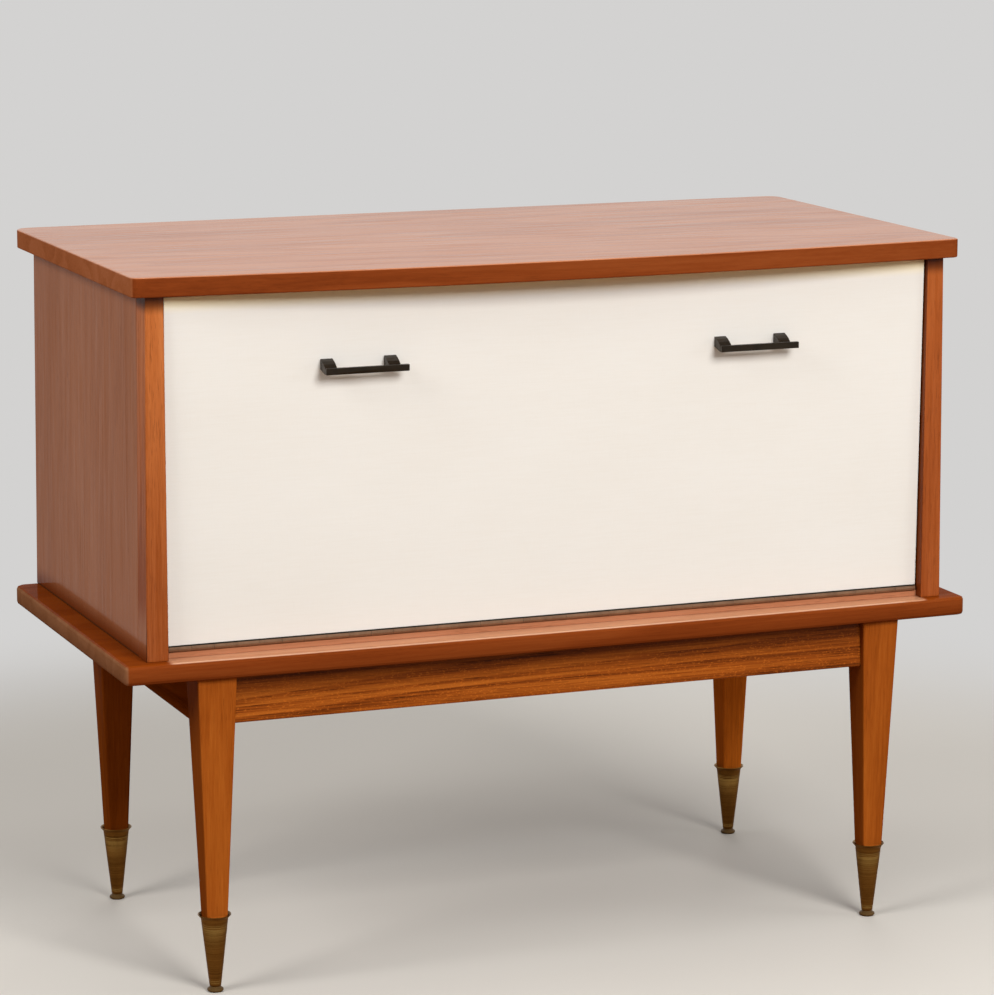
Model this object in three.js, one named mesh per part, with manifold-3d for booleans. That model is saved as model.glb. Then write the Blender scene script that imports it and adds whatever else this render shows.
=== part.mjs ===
// Bar cabinet with a fall flap, on a leg frame with brass ferrules.
// Units are millimetres. +Z is up, +X runs along the width and -Y is the front.
// The origin lies on the floor, under the middle of the whole cabinet.

import * as THREE from 'three';
import { mergeVertices } from 'three/addons/utils/BufferGeometryUtils.js';
import Module from 'manifold-3d';

const wasm = await Module();
wasm.setup();

// Overall sizes
const overallHeight = 776;
const boardThickness = 21;
const topWidth = 954;
const topDepth = 500;
const topBow = 25;
const topFrontCorner = 9;
const topBackCorner = 18;
const topArris = 1.5;
const basePastTop = 14.5;
const baseShortOfTop = 25.5;
const baseAheadOfTop = 4.5;
const baseBow = 6;
const baseFrontCorner = 9;
const baseBackCorner = 12;
const baseArris = 3.5;
const legFrameHeight = 349;

// Carcass
const topPastSide = 16;
const sideThicknessTop = 20;
const sideThicknessFoot = 24;
const sideSetback = 8;
const sideShortOfBase = 0.5;
const lippingDepth = 32;
const backThickness = 5;
const backRebate = 8;
const sillHeight = 6.5;
const floorThickness = 18;
const floorBehindFlap = 1.2;
const railDepth = 48;
const railThickness = 18;
const fitClearance = 0.3;

// Interior of the bar
const mirrorThickness = 4;
const mirrorMargin = 3;
const shelfThickness = 6;
const shelfArris = 1;
const shelfDepth = 225;
const shelfHeight = 172;
const shelfSideGap = 1.5;
const shelfPinRadius = 3;
const shelfPinLength = 11;
const shelfPinFlangeRadius = 5;
const shelfPinFlange = 1.5;
const shelfPinInset = 35;

// Flap
const flapLean = THREE.MathUtils.degToRad(1);
const flapRecess = 11.3;
const flapSideGap = 1.5;
const flapTopGap = 2.5;
const flapBottomGap = 0.5;
const laminateThickness = 1;
const flapCoreThickness = 15;

// Piano hinge
const knuckleRadius = 3.2;
const knuckleBore = 1.6;
const hingePinRadius = 1.45;
const leafThickness = 1.2;
const leafWidth = 14;
const knuckleCount = 35;
const knuckleGap = 0.3;
const hingeShortOfFlap = 1;

// Handles
const handleSpreadShare = 0.515;
const handleTopBelowFlapTop = 73;
const barLength = 93;
const barHeight = 7;
const barThickness = 4.5;
const barReach = 20;
const postSpacing = 71;
const postWidth = 13.4;
const postHeight = 11;
const postDrop = 7.5;
const barArris = 0.6;
const postTopCurveShares = [0.6, 0.32];
const postUndersideCurveShares = [0.55, 0.85];

// Flap stays
const stayPivotHeight = 150;
const stayPivotOffset = 9;
const stayStudAngle = THREE.MathUtils.degToRad(50);
const stayOpening = THREE.MathUtils.degToRad(89);
const stayWidth = 13;
const stayThickness = 2;
const stayFromWall = 2;
const stayPivotRadius = 2;
const stayStudRadius = 2.4;
const stayPlay = 0.3;
const staySideGap = 0.5;
const stayEarThickness = 2;
const stayEarWidth = 14;
const stayFootThickness = 1.5;
const stayFootWidth = 14;
const stayFootHeight = 34;
const stayHeadRadius = 4.6;
const stayHeadThickness = 1.5;
const stayFlangeRadius = 6;

// Catches
const catchSpreadShare = 0.68;
const catchWidth = 42;
const catchDepth = 16;
const catchHeight = 13;
const catchArris = 1.2;
const strikeWidth = 36;
const strikeHeight = 11;
const strikeThickness = 1.5;
const catchPlay = 0.5;

// Leg frame
const legSideSetback = 80;
const legFrontSetback = 7.5;
const legBackSetback = 25;
const legTop = 44;
const legFoot = 23.4;
const legArris = 2.5;
const apronHeight = 53;
const apronThickness = 20;
const apronFrontSetback = 8.5;
const apronSideSetback = 3.5;
const blockLeg = 46;
const blockHeight = 40;

// Ferrules and glides
const ferruleTop = 81;
const ferruleRadiusTop = 14.6;
const ferruleRadiusFoot = 6.2;
const ferruleWall = 1.2;
const ferruleFoot = 6;
const lipRadius = 17.9;
const lipRise = 4;
const lipThickness = 1;
const glideRadius = 8.8;
const glideSole = 6.6;
const glideBead = 4.2;
const legEndHeight = 24;

// Facet counts
const roundSteps = 24;
const smallSteps = 12;
const cornerSteps = 3;

// Places that follow from the sizes above
const halfOpening = topWidth / 2 - topPastSide - sideThicknessTop;
const handleSpread = halfOpening * handleSpreadShare;
const catchSpread = halfOpening * catchSpreadShare;
const baseWidth = topWidth + 2 * basePastTop;
const legSpread = baseWidth - 2 * legSideSetback;
const topFront = -topDepth / 2 + topBow;
const topUnderside = overallHeight - boardThickness;
const baseTop = legFrameHeight + boardThickness;
const baseFront = topFront - baseAheadOfTop;
const baseBack = topDepth / 2 - baseShortOfTop;
const sideFront = topFront + sideSetback;
const sideBack = baseBack - sideShortOfBase;
const sideHeight = topUnderside - baseTop;
const axisY = sideFront + flapRecess;
const axisZ = baseTop + sillHeight + knuckleRadius;
const flapWidth = 2 * (halfOpening - flapSideGap);
const flapBottom = knuckleRadius + flapBottomGap;
const flapTop = (topUnderside - flapTopGap - axisZ) / Math.cos(flapLean);
const flapThickness = flapCoreThickness + 2 * (laminateThickness + fitClearance);
const floorFront = axisY + flapThickness + floorBehindFlap;
const floorTop = baseTop + floorThickness;
const backFront = sideBack - backThickness;
const mirrorFront = backFront - mirrorThickness;
const shelfZ = floorTop + shelfHeight;
const stayR = Math.hypot(flapThickness + stayPivotOffset, stayPivotHeight);
const legFront = baseFront + legFrontSetback;
const legBack = baseBack - legBackSetback;

const finishes = {
  topVeneer: { color: 0x9c5a3c, roughness: 0.35, metalness: 0 },
  sideVeneer: { color: 0x8a5038, roughness: 0.4, metalness: 0 },
  teak: { color: 0xa2551f, roughness: 0.45, metalness: 0 },
  plywood: { color: 0xb08a5c, roughness: 0.7, metalness: 0 },
  cream: { color: 0xf0e9dc, roughness: 0.5, metalness: 0 },
  brass: { color: 0x6f5326, roughness: 0.4, metalness: 0.9 },
  hingeSteel: { color: 0x8a7a66, roughness: 0.4, metalness: 0.9 },
  bronze: { color: 0x2d261c, roughness: 0.45, metalness: 0.8 },
  glass: { color: 0xcfe0dc, roughness: 0.05, metalness: 0 },
  mirror: { color: 0xc9d2d2, roughness: 0.03, metalness: 1 },
  rubber: { color: 0x2b2118, roughness: 0.6, metalness: 0.1 },
  plastic: { color: 0xe6dfcf, roughness: 0.5, metalness: 0 },
};

const cabinet = new THREE.Group();

// Adds a named piece to a group
function addPiece(group, name, geometry, finish) {
  const mesh = new THREE.Mesh(geometry, new THREE.MeshStandardMaterial(finishes[finish]));
  mesh.name = name;
  group.add(mesh);
  return mesh;
}

// Merges the shared corners of a closed shape and makes its faces point out
function welded(geometry) {
  geometry.deleteAttribute('normal');
  geometry.deleteAttribute('uv');
  const merged = mergeVertices(geometry);
  const p = merged.getAttribute('position');
  const index = merged.getIndex().array;
  let volume = 0;
  const [a, b, c] = [new THREE.Vector3(), new THREE.Vector3(), new THREE.Vector3()];
  for (let i = 0; i < index.length; i += 3) {
    a.fromBufferAttribute(p, index[i]);
    b.fromBufferAttribute(p, index[i + 1]);
    c.fromBufferAttribute(p, index[i + 2]);
    volume += a.dot(b.cross(c));
  }
  if (volume < 0) {
    for (let i = 0; i < index.length; i += 3) {
      [index[i], index[i + 1]] = [index[i + 1], index[i]];
    }
  }
  merged.computeVertexNormals();
  return merged;
}

function toSolid(geometry) {
  const merged = welded(geometry);
  return new wasm.Manifold(new wasm.Mesh({
    numProp: 3,
    vertProperties: new Float32Array(merged.getAttribute('position').array),
    triVerts: new Uint32Array(merged.getIndex().array),
  }));
}

function fromSolid(solid) {
  const mesh = solid.getMesh();
  const geometry = new THREE.BufferGeometry();
  geometry.setAttribute('position', new THREE.BufferAttribute(mesh.vertProperties, mesh.numProp));
  geometry.setIndex(new THREE.BufferAttribute(mesh.triVerts, 1));
  geometry.computeVertexNormals();
  return geometry;
}

// Joins and cuts closed shapes
function joined(first, added, removed = []) {
  let solid = toSolid(first);
  for (const shape of added) {
    solid = solid.add(toSolid(shape));
  }
  for (const shape of removed) {
    solid = solid.subtract(toSolid(shape));
  }
  return fromSolid(solid);
}

// A box given by its lowest and highest corners
function slab(x0, x1, y0, y1, z0, z1) {
  const box = new THREE.BoxGeometry(x1 - x0, y1 - y0, z1 - z0);
  return box.translate((x0 + x1) / 2, (y0 + y1) / 2, (z0 + z1) / 2);
}

// Extrudes an outline drawn in X and Y upwards from a height, with its edges eased by an arris
function plate(outline, z0, height, arris, curveSegments = roundSteps / 2) {
  const solid = new THREE.ExtrudeGeometry(outline, {
    depth: height - 2 * arris,
    bevelEnabled: arris > 0,
    bevelThickness: arris,
    bevelSize: arris,
    bevelOffset: -arris,
    bevelSegments: 2,
    curveSegments,
  });
  return solid.translate(0, 0, z0 + arris);
}

// Turns a shape drawn in Y and Z and extruded along Z so that it runs along X from x0
function alongX(geometry, x0) {
  geometry.rotateZ(Math.PI / 2);
  geometry.rotateY(Math.PI / 2);
  return geometry.translate(x0, 0, 0);
}

function rectangle(x0, x1, y0, y1) {
  const shape = new THREE.Shape();
  shape.moveTo(x0, y0);
  shape.lineTo(x1, y0);
  shape.lineTo(x1, y1);
  shape.lineTo(x0, y1);
  shape.closePath();
  return shape;
}

// A solid from rings of points that lie over each other, closed at both ends
function loft(rings) {
  const count = rings[0].length;
  const points = rings.flat();
  const faces = [];
  for (let r = 0; r < rings.length - 1; r += 1) {
    for (let i = 0; i < count; i += 1) {
      const j = (i + 1) % count;
      const [a, b, c, d] = [r * count + i, r * count + j, (r + 1) * count + j, (r + 1) * count + i];
      faces.push(a, b, c, a, c, d);
    }
  }
  const last = (rings.length - 1) * count;
  for (let i = 1; i < count - 1; i += 1) {
    faces.push(0, i + 1, i);
    faces.push(last, last + i, last + i + 1);
  }
  const geometry = new THREE.BufferGeometry().setFromPoints(points);
  geometry.setIndex(faces);
  return welded(geometry);
}

// A square ring with rounded corners, at a height. Half is half its side.
function squareRing(half, corner, z) {
  const points = [];
  for (let quarter = 0; quarter < 4; quarter += 1) {
    const turn = quarter * Math.PI / 2;
    const centre = new THREE.Vector2(half - corner, half - corner).rotateAround(new THREE.Vector2(), turn);
    for (let i = 0; i <= cornerSteps; i += 1) {
      const angle = turn + (i / cornerSteps) * Math.PI / 2;
      points.push(new THREE.Vector3(
        centre.x + corner * Math.cos(angle), centre.y + corner * Math.sin(angle), z));
    }
  }
  return points;
}

// A turned shape about Z from its profile of [radius, height] pairs
function turned(profile, steps) {
  const points = profile.map(([radius, height]) => new THREE.Vector2(radius, height));
  return welded(new THREE.LatheGeometry(points, steps).rotateX(Math.PI / 2));
}

function rod(radius, length, steps) {
  return new THREE.CylinderGeometry(radius, radius, length, steps);
}

// The outline of a board with a bowed front edge and rounded corners
function boardOutline(width, front, back, bow, frontCorner, backCorner) {
  const half = width / 2;
  const inner = half - frontCorner;
  const shoulder = front - bow * (1 - (inner / half) ** 2);
  const shape = new THREE.Shape();
  shape.moveTo(-inner, shoulder);
  shape.quadraticCurveTo(0, 2 * (front - bow) - shoulder, inner, shoulder);
  shape.quadraticCurveTo(half, front, half, front + frontCorner);
  shape.lineTo(half, back - backCorner);
  shape.absarc(half - backCorner, back - backCorner, backCorner, 0, Math.PI / 2);
  shape.lineTo(-half + backCorner, back);
  shape.absarc(-half + backCorner, back - backCorner, backCorner, Math.PI / 2, Math.PI);
  shape.lineTo(-half, front + frontCorner);
  shape.quadraticCurveTo(-half, front, -inner, shoulder);
  return shape;
}

function makeBoards() {
  const top = boardOutline(topWidth, topFront, topDepth / 2, topBow, topFrontCorner, topBackCorner);
  addPiece(cabinet, 'top_panel', plate(top, topUnderside, boardThickness, topArris), 'topVeneer');
  const base = boardOutline(baseWidth, baseFront, baseBack, baseBow, baseFrontCorner, baseBackCorner);
  addPiece(cabinet, 'base_panel', plate(base, legFrameHeight, boardThickness, baseArris), 'topVeneer');
}

// A stretch of side wall between two depths. The wall is thicker at its foot than at its top.
function sideWall(side, y0, y1) {
  const shape = new THREE.Shape();
  shape.moveTo(side * halfOpening, 0);
  shape.lineTo(side * (halfOpening + sideThicknessFoot), 0);
  shape.lineTo(side * (halfOpening + sideThicknessTop), sideHeight);
  shape.lineTo(side * halfOpening, sideHeight);
  shape.closePath();
  const wall = plate(shape, 0, y1 - y0, 0);
  return wall.rotateX(Math.PI / 2).translate(0, y1, baseTop);
}

function makeSides() {
  for (const [name, side] of [['left', -1], ['right', 1]]) {
    const wall = sideWall(side, sideFront + lippingDepth, sideBack);
    const edges = [side * (halfOpening - backRebate), side * (halfOpening + backRebate)];
    const rebate = slab(Math.min(...edges), Math.max(...edges), backFront, sideBack + backRebate,
      baseTop - backRebate, topUnderside + backRebate);
    addPiece(cabinet, `side_panel_${name}`, joined(wall, [], [rebate]), 'sideVeneer');
    const lipping = sideWall(side, sideFront, sideFront + lippingDepth);
    addPiece(cabinet, `side_lipping_${name}`, lipping, 'teak');
  }
}

function makeBack() {
  const half = halfOpening + backRebate - fitClearance;
  addPiece(cabinet, 'back_panel', slab(-half, half, backFront, sideBack, baseTop, topUnderside), 'plywood');
}

function makeFloorAndRails() {
  addPiece(cabinet, 'sill_rail', slab(-halfOpening, halfOpening, axisY, floorFront,
    baseTop, baseTop + sillHeight), 'teak');
  addPiece(cabinet, 'floor_panel', slab(-halfOpening, halfOpening, floorFront, backFront,
    baseTop, floorTop), 'cream');
  const railFront = flapInnerAt(topUnderside - railThickness) + strikeThickness + fitClearance;
  addPiece(cabinet, 'top_rail', slab(-halfOpening, halfOpening, railFront, railFront + railDepth,
    topUnderside - railThickness, topUnderside), 'teak');
}

// The depth of the closed flap's inner face at a height
function flapInnerAt(z) {
  return axisY + flapThickness / Math.cos(flapLean) - (z - axisZ) * Math.tan(flapLean);
}

function makeInterior() {
  const mirrorHalf = halfOpening - mirrorMargin;
  addPiece(cabinet, 'mirror', slab(-mirrorHalf, mirrorHalf, mirrorFront, backFront,
    floorTop + mirrorMargin, topUnderside - mirrorMargin), 'mirror');
  const shelfHalf = halfOpening - shelfSideGap;
  const shelfBack = mirrorFront - shelfSideGap;
  const shelfFront = shelfBack - shelfDepth;
  addPiece(cabinet, 'glass_shelf', plate(rectangle(-shelfHalf, shelfHalf, shelfFront, shelfBack),
    shelfZ, shelfThickness, shelfArris), 'glass');
  for (const [sideName, side] of [['left', -1], ['right', 1]]) {
    const ends = [['front', shelfFront + shelfPinInset], ['back', shelfBack - shelfPinInset]];
    for (const [endName, y] of ends) {
      const pin = turned([
        [0, 0],
        [shelfPinFlangeRadius, 0],
        [shelfPinFlangeRadius, shelfPinFlange],
        [shelfPinRadius, shelfPinFlange],
        [shelfPinRadius, shelfPinLength],
        [0, shelfPinLength],
      ], smallSteps);
      const mesh = addPiece(cabinet, `shelf_pin_${sideName}_${endName}`, pin, 'brass');
      mesh.rotation.y = -side * Math.PI / 2;
      mesh.position.set(side * halfOpening, y, shelfZ - shelfPinFlangeRadius);
    }
  }
}

// One leaf of the piano hinge about its axis, with every second knuckle
function hingeLeaf(length, first, up) {
  const pitch = length / knuckleCount;
  const plateStart = knuckleRadius + fitClearance;
  const inner = up * (knuckleRadius - leafThickness);
  const outer = up * knuckleRadius;
  const [z0, z1] = [Math.min(inner, outer), Math.max(inner, outer)];
  const leaf = slab(-length / 2, length / 2, plateStart, plateStart + leafWidth, z0, z1);
  const webs = [];
  const bores = [];
  for (let i = first; i < knuckleCount; i += 2) {
    const x0 = -length / 2 + i * pitch + (i > 0 ? knuckleGap / 2 : 0);
    const x1 = -length / 2 + (i + 1) * pitch - (i < knuckleCount - 1 ? knuckleGap / 2 : 0);
    const tube = rod(knuckleRadius, x1 - x0, smallSteps).rotateZ(Math.PI / 2);
    webs.push(tube.translate((x0 + x1) / 2, 0, 0));
    webs.push(slab(x0, x1, 0, plateStart + leafThickness, z0, z1));
    const bore = rod(knuckleBore, x1 - x0 + 2 * knuckleGap, smallSteps).rotateZ(Math.PI / 2);
    bores.push(bore.translate((x0 + x1) / 2, 0, 0));
  }
  return joined(leaf, webs, bores);
}

function makeHinge(flap) {
  const length = flapWidth - 2 * hingeShortOfFlap;
  const fixedLeaf = addPiece(cabinet, 'hinge_leaf_fixed', hingeLeaf(length, 0, -1), 'hingeSteel');
  fixedLeaf.position.set(0, axisY, axisZ);
  const pin = addPiece(cabinet, 'hinge_pin', rod(hingePinRadius, length, smallSteps).rotateZ(Math.PI / 2),
    'hingeSteel');
  pin.position.set(0, axisY, axisZ);
  addPiece(flap, 'hinge_leaf_flap', hingeLeaf(length, 1, 1), 'hingeSteel');
}

// The flap group stands at the hinge axis and leans forward by a degree or so. In it, Y runs
// from the flap's front face to its inner face and Z from the axis to its top edge.
function makeFlapPanel(flap) {
  const half = flapWidth / 2;
  const coreFront = laminateThickness + fitClearance;
  const coreBack = coreFront + flapCoreThickness;
  addPiece(flap, 'flap_front', plate(rectangle(-half, half, flapBottom, flapTop),
    -laminateThickness, laminateThickness, 0).rotateX(Math.PI / 2), 'cream');
  addPiece(flap, 'flap_core', slab(-half, half, coreFront, coreBack, flapBottom, flapTop), 'cream');
  addPiece(flap, 'flap_lining', slab(-half, half, coreBack + fitClearance, flapThickness,
    flapBottom, flapTop), 'cream');
}

// A handle post seen from the side: flat on the flap, swept forward and down to the bar
function postOutline() {
  const top = 0;
  const barTop = top - postDrop;
  const barBack = -barReach + barThickness + fitClearance;
  const shape = new THREE.Shape();
  shape.moveTo(-fitClearance, top);
  shape.quadraticCurveTo(
    barBack * postTopCurveShares[0], top - postDrop * postTopCurveShares[1], barBack, barTop);
  shape.lineTo(barBack, barTop - barHeight);
  shape.quadraticCurveTo(barBack * postUndersideCurveShares[0],
    barTop - barHeight * postUndersideCurveShares[1], -fitClearance, top - postHeight);
  shape.closePath();
  return shape;
}

function makeHandles(flap) {
  const handleTop = flapTop - handleTopBelowFlapTop;
  for (const [name, side] of [['left', -1], ['right', 1]]) {
    const barStart = side * handleSpread - postSpacing / 2 - postWidth / 2;
    const barShape = rectangle(-barReach, -barReach + barThickness, -postDrop - barHeight, -postDrop);
    const bar = alongX(plate(barShape, 0, barLength, barArris), barStart);
    addPiece(flap, `handle_${name}_bar`, bar, 'bronze').position.z = handleTop;
    for (const [endName, end] of [['a', -1], ['b', 1]]) {
      const middle = side * handleSpread + end * postSpacing / 2;
      const post = alongX(plate(postOutline(), 0, postWidth, 0, cornerSteps), middle - postWidth / 2);
      addPiece(flap, `handle_${name}_post_${endName}`, post, 'bronze').position.z = handleTop;
    }
  }
}

// The catches under the top rail and the strike plates on the flap's lining
function makeCatches(flap) {
  const catchTop = topUnderside - railThickness;
  const catchFront = flapInnerAt(catchTop) + fitClearance + strikeThickness + catchPlay;
  const strikeMiddle = (catchTop - catchHeight / 2 - axisZ) / Math.cos(flapLean);
  for (const [name, side] of [['left', -1], ['right', 1]]) {
    const shape = rectangle(side * catchSpread - catchWidth / 2, side * catchSpread + catchWidth / 2,
      catchFront, catchFront + catchDepth);
    addPiece(cabinet, `catch_${name}`,
      plate(shape, catchTop - catchHeight, catchHeight, catchArris), 'plastic');
    addPiece(flap, `strike_plate_${name}`, slab(
      side * catchSpread - strikeWidth / 2, side * catchSpread + strikeWidth / 2,
      flapThickness + fitClearance, flapThickness + fitClearance + strikeThickness,
      strikeMiddle - strikeHeight / 2, strikeMiddle + strikeHeight / 2), 'hingeSteel');
  }
}

// The slotted arm: its pivot hole is at the origin and its slot runs along +Y
function stayArm(slotStart, slotEnd) {
  const half = stayWidth / 2;
  const holeRadius = stayPivotRadius + stayPlay;
  const slotHalf = stayStudRadius + stayPlay;
  const shape = new THREE.Shape();
  shape.absarc(0, 0, half, Math.PI / 2, 3 * Math.PI / 2);
  shape.absarc(slotEnd, 0, half, -Math.PI / 2, Math.PI / 2);
  const hole = new THREE.Path();
  hole.absarc(0, 0, holeRadius, 0, 2 * Math.PI);
  const slot = new THREE.Path();
  slot.absarc(slotStart, 0, slotHalf, Math.PI / 2, 3 * Math.PI / 2);
  slot.absarc(slotEnd, 0, slotHalf, -Math.PI / 2, Math.PI / 2);
  shape.holes.push(hole, slot);
  return plate(shape, 0, stayThickness, 0, smallSteps / 2);
}

// The stud on the side wall, drawn about Z with its flange at the origin
function stayStud() {
  const armStart = stayFromWall - staySideGap;
  const armEnd = stayFromWall + stayThickness + staySideGap;
  return turned([
    [0, 0],
    [stayFlangeRadius, 0],
    [stayFlangeRadius, armStart],
    [stayStudRadius, armStart],
    [stayStudRadius, armEnd],
    [stayHeadRadius, armEnd],
    [stayHeadRadius, armEnd + stayHeadThickness],
    [0, armEnd + stayHeadThickness],
  ], smallSteps);
}

// The bracket on the flap's lining, with the ear and the pivot that carries the arm
function stayBracket(side) {
  const earOuter = halfOpening - stayFromWall - stayThickness - staySideGap;
  const earInner = earOuter - stayEarThickness;
  const foot = flapThickness + fitClearance;
  const pivotY = flapThickness + stayPivotOffset;
  const xs = (a, b) => [Math.min(side * a, side * b), Math.max(side * a, side * b)];
  const plateX = xs(earOuter - stayFootWidth, earOuter);
  const earX = xs(earInner, earOuter);
  const footPlate = slab(plateX[0], plateX[1], foot, foot + stayFootThickness,
    stayPivotHeight - stayFootHeight / 2, stayPivotHeight + stayFootHeight / 2);
  const ear = slab(earX[0], earX[1], foot, pivotY + stayEarWidth / 2,
    stayPivotHeight - stayEarWidth / 2, stayPivotHeight + stayEarWidth / 2);
  const pivotX = xs(earInner, halfOpening - stayFromWall + staySideGap);
  const pivot = rod(stayPivotRadius, pivotX[1] - pivotX[0], smallSteps).rotateZ(Math.PI / 2);
  pivot.translate((pivotX[0] + pivotX[1]) / 2, pivotY, stayPivotHeight);
  return joined(footPlate, [ear, pivot]);
}

// The stud is as far from the hinge axis as the arm's pivot, so the arm always turns half as
// far as the flap and its slot stays on the stud.
function makeStays(flap) {
  const pivotAngle = Math.PI / 2 + flapLean - Math.atan2(flapThickness + stayPivotOffset, stayPivotHeight);
  const slotStart = 2 * stayR * Math.sin((pivotAngle - stayStudAngle) / 2);
  const slotEnd = 2 * stayR * Math.sin((pivotAngle + stayOpening - stayStudAngle) / 2);
  const armAngle = (pivotAngle + stayStudAngle) / 2 - Math.PI / 2;
  for (const [name, side] of [['left', -1], ['right', 1]]) {
    addPiece(flap, `stay_bracket_${name}`, stayBracket(side), 'brass');
    const armX = side * (halfOpening - stayFromWall - stayThickness / 2);
    const arm = addPiece(cabinet, `stay_arm_${name}`,
      stayArm(slotStart, slotEnd).translate(0, 0, -stayThickness / 2), 'brass');
    const upright = new THREE.Matrix4().makeBasis(
      new THREE.Vector3(0, Math.cos(armAngle), Math.sin(armAngle)),
      new THREE.Vector3(0, -Math.sin(armAngle), Math.cos(armAngle)),
      new THREE.Vector3(1, 0, 0));
    arm.quaternion.setFromRotationMatrix(upright);
    arm.position.set(armX, axisY + stayR * Math.cos(pivotAngle), axisZ + stayR * Math.sin(pivotAngle));
    const stud = addPiece(cabinet, `stay_stud_${name}`, stayStud(), 'brass');
    stud.rotation.y = -side * Math.PI / 2;
    stud.position.set(side * halfOpening, axisY + stayR * Math.cos(stayStudAngle),
      axisZ + stayR * Math.sin(stayStudAngle));
  }
}

function makeFlap() {
  const flap = new THREE.Group();
  flap.position.set(0, axisY, axisZ);
  flap.rotation.x = flapLean;
  cabinet.add(flap);
  makeFlapPanel(flap);
  makeHinge(flap);
  makeHandles(flap);
  makeCatches(flap);
  makeStays(flap);
}

// How much a leg narrows on each side for each millimetre down
const legSlope = (legTop - legFoot) / 2 / (legFrameHeight - ferruleTop);

function legGeometry() {
  const half = (z) => legTop / 2 - legSlope * (legFrameHeight - z);
  const shoulder = ferruleTop + lipRise + lipThickness;
  const tenonTop = ferruleRadiusTop - ferruleWall - fitClearance;
  const shrink = (ferruleRadiusTop - ferruleRadiusFoot) / (ferruleTop - ferruleFoot);
  const tenonEnd = tenonTop - shrink * (ferruleTop - legEndHeight);
  return loft([
    squareRing(tenonEnd, tenonEnd, legEndHeight),
    squareRing(tenonTop, tenonTop, ferruleTop),
    squareRing(half(shoulder), legArris, shoulder),
    squareRing(legTop / 2, legArris, legFrameHeight),
  ]);
}

function ferruleGeometry() {
  const inside = ferruleRadiusFoot - ferruleWall;
  return turned([
    [0, ferruleFoot],
    [ferruleRadiusFoot, ferruleFoot],
    [ferruleRadiusTop, ferruleTop],
    [lipRadius, ferruleTop + lipRise],
    [lipRadius - lipThickness / 2, ferruleTop + lipRise + lipThickness],
    [ferruleRadiusTop - ferruleWall, ferruleTop + lipThickness / 2],
    [inside, ferruleFoot + ferruleWall],
    [0, ferruleFoot + ferruleWall],
  ], roundSteps);
}

function glideGeometry() {
  return turned([
    [0, 0],
    [glideSole, 0],
    [glideRadius, glideBead / 2],
    [glideSole, glideBead],
    [ferruleRadiusFoot, ferruleFoot],
    [0, ferruleFoot],
  ], roundSteps);
}

function makeLegs() {
  const legX = legSpread / 2 - legTop / 2;
  const ends = [['front', legFront + legTop / 2], ['back', legBack - legTop / 2]];
  for (const [endName, y] of ends) {
    for (const [sideName, side] of [['left', -1], ['right', 1]]) {
      const place = `${endName}_${sideName}`;
      const pieces = [
        addPiece(cabinet, `leg_${place}`, legGeometry(), 'teak'),
        addPiece(cabinet, `ferrule_${place}`, ferruleGeometry(), 'brass'),
        addPiece(cabinet, `glide_${place}`, glideGeometry(), 'rubber'),
      ];
      for (const piece of pieces) {
        piece.position.set(side * legX, y, 0);
      }
    }
  }
}

// An apron between two legs, cut at its ends to the slope of the legs. It is drawn in X and Z
// under the base board and extruded along Y.
function apronGeometry(length) {
  const half = length / 2 - fitClearance;
  const spread = legSlope * apronHeight;
  const shape = new THREE.Shape();
  shape.moveTo(-half, 0);
  shape.lineTo(-half - spread, -apronHeight);
  shape.lineTo(half + spread, -apronHeight);
  shape.lineTo(half, 0);
  shape.closePath();
  const board = plate(shape, -apronThickness, apronThickness, 0);
  return board.rotateX(Math.PI / 2).translate(0, 0, legFrameHeight);
}

function makeAprons() {
  const lengthX = legSpread - 2 * legTop;
  const lengthY = legBack - legFront - 2 * legTop;
  const front = addPiece(cabinet, 'apron_front', apronGeometry(lengthX), 'teak');
  front.position.y = legFront + apronFrontSetback;
  const back = addPiece(cabinet, 'apron_back', apronGeometry(lengthX), 'teak');
  back.position.y = legBack - apronFrontSetback - apronThickness;
  for (const [name, side] of [['left', -1], ['right', 1]]) {
    const apron = addPiece(cabinet, `apron_${name}`, apronGeometry(lengthY), 'teak');
    const outer = legSpread / 2 - apronSideSetback;
    apron.rotation.z = Math.PI / 2;
    apron.position.set(side > 0 ? outer : -outer + apronThickness, (legFront + legBack) / 2, 0);
  }
}

// A three-cornered glue block in a corner of the frame, cut to clear the leg
function makeCornerBlocks() {
  const innerX = legSpread / 2 - apronSideSetback - apronThickness;
  const frontY = legFront + apronFrontSetback + apronThickness;
  const backY = legBack - apronFrontSetback - apronThickness;
  const legClearX = legSpread / 2 - legTop - fitClearance;
  const legClear = legTop - apronFrontSetback - apronThickness + fitClearance;
  const cutX = innerX - legClearX;
  for (const [endName, y, into] of [['front', frontY, 1], ['back', backY, -1]]) {
    for (const [sideName, side] of [['left', -1], ['right', 1]]) {
      const shape = new THREE.Shape();
      const at = (fromSide, fromEnd) => [side * (innerX - fromSide), y + into * fromEnd];
      shape.moveTo(...at(cutX, 0));
      shape.lineTo(...at(cutX + blockLeg, 0));
      shape.lineTo(...at(0, legClear + blockLeg));
      shape.lineTo(...at(0, legClear));
      shape.lineTo(...at(cutX, legClear));
      shape.closePath();
      addPiece(cabinet, `corner_block_${endName}_${sideName}`,
        plate(shape, legFrameHeight - blockHeight, blockHeight, 0), 'plywood');
    }
  }
}

makeBoards();
makeSides();
makeBack();
makeFloorAndRails();
makeInterior();
makeFlap();
makeLegs();
makeAprons();
makeCornerBlocks();

export default cabinet;
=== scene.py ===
import math

import bpy
from mathutils import Matrix, Vector


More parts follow.
